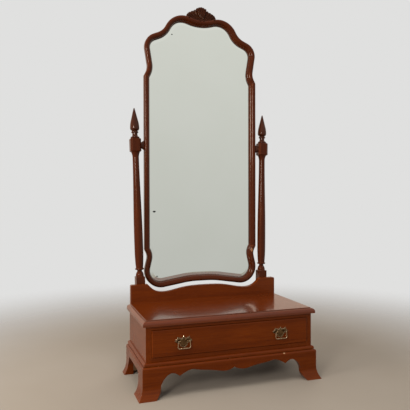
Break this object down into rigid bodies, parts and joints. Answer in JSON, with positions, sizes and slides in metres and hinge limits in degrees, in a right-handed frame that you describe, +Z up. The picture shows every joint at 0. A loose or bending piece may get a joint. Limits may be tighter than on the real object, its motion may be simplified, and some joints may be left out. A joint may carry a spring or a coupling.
{
  "type": "floor-standing dressing mirror",
  "caption": "Tall shaped mirror with a carved crest, tilting between turned posts on a low drawer base with bracket feet and bail handles, for dressing.",
  "frame": {"origin": "centre of the footprint of the whole object, on the floor", "axes": "+X to the right seen from the front, +Y to the back, +Z up; the drawer and the glass face -Y"},
  "size_m": [0.744, 0.4338, 1.5885],
  "materials": {
    "mahogany": "semi-gloss lacquer",
    "secondary_wood": "bare planed wood",
    "mirror_glass": "silvered glass",
    "aged_brass": "aged, semi-polished",
    "steel": "plain bright",
    "washer_leather": "matt"
  },
  "bodies": {
    "stand": {"top_board": "mahogany", "case_side_left": "mahogany", "case_side_right": "mahogany", "case_back_panel": "secondary_wood", "top_rail": "mahogany", "bottom_rail": "mahogany", "drawer_runner_left": "secondary_wood", "drawer_runner_right": "secondary_wood", "kicker_left": "secondary_wood", "kicker_right": "secondary_wood", "dust_panel": "secondary_wood", "drawer_stops": "secondary_wood", "base_moulding_front": "mahogany", "base_moulding_left": "mahogany", "base_moulding_right": "mahogany", "base_strip_rear": "secondary_wood", "plinth_front": "mahogany", "plinth_left": "mahogany", "plinth_right": "mahogany", "rear_bracket_left": "secondary_wood", "rear_bracket_right": "secondary_wood", "foot_glue_blocks": "secondary_wood", "backboard": "mahogany", "post_left": "mahogany", "post_right": "mahogany", "finial_left": "mahogany", "finial_right": "mahogany", "pivot_pin_left": "steel", "pivot_pin_right": "steel", "pivot_washer_left": "washer_leather", "pivot_washer_right": "washer_leather", "backboard_screws": "steel", "post_screws": "steel", "top_screws": "steel"},
    "drawer": {"drawer_front": "mahogany", "drawer_side_left": "secondary_wood", "drawer_side_right": "secondary_wood", "drawer_back": "secondary_wood", "drawer_bottom": "secondary_wood", "handle_plate_left": "aged_brass", "handle_plate_right": "aged_brass", "handle_studs_left": "aged_brass", "handle_studs_right": "aged_brass", "handle_nuts": "aged_brass"},
    "mirror": {"frame_top": "mahogany", "frame_bottom": "mahogany", "frame_left": "mahogany", "frame_right": "mahogany", "frame_dowels": "secondary_wood", "crest_shell": "mahogany", "mirror_glass": "mirror_glass", "backing_board": "secondary_wood", "backing_screws": "steel", "pivot_boss_left": "mahogany", "pivot_boss_right": "mahogany", "pivot_bush_left": "aged_brass", "pivot_bush_right": "aged_brass"},
    "handle_left": {"bail_left": "aged_brass"},
    "handle_right": {"bail_right": "aged_brass"}
  },
  "joints": [
    {"name": "drawer_slide", "type": "slide", "parent": "stand", "child": "drawer", "axis": [0, -1, 0], "range_m": [0, 0.22]},
    {"name": "mirror_tilt", "type": "hinge", "parent": "stand", "child": "mirror", "pos_m": [0, 0.19298, 0.958], "axis": [1, 0, 0], "range_deg": [-35, 35]},
    {"name": "bail_left_swing", "type": "hinge", "parent": "drawer", "child": "handle_left", "pos_m": [-0.199, -0.1995, 0.2005], "axis": [-1, 0, 0], "range_deg": [-8, 100]},
    {"name": "bail_right_swing", "type": "hinge", "parent": "drawer", "child": "handle_right", "pos_m": [0.199, -0.1995, 0.2005], "axis": [-1, 0, 0], "range_deg": [-8, 100]}
  ]
}
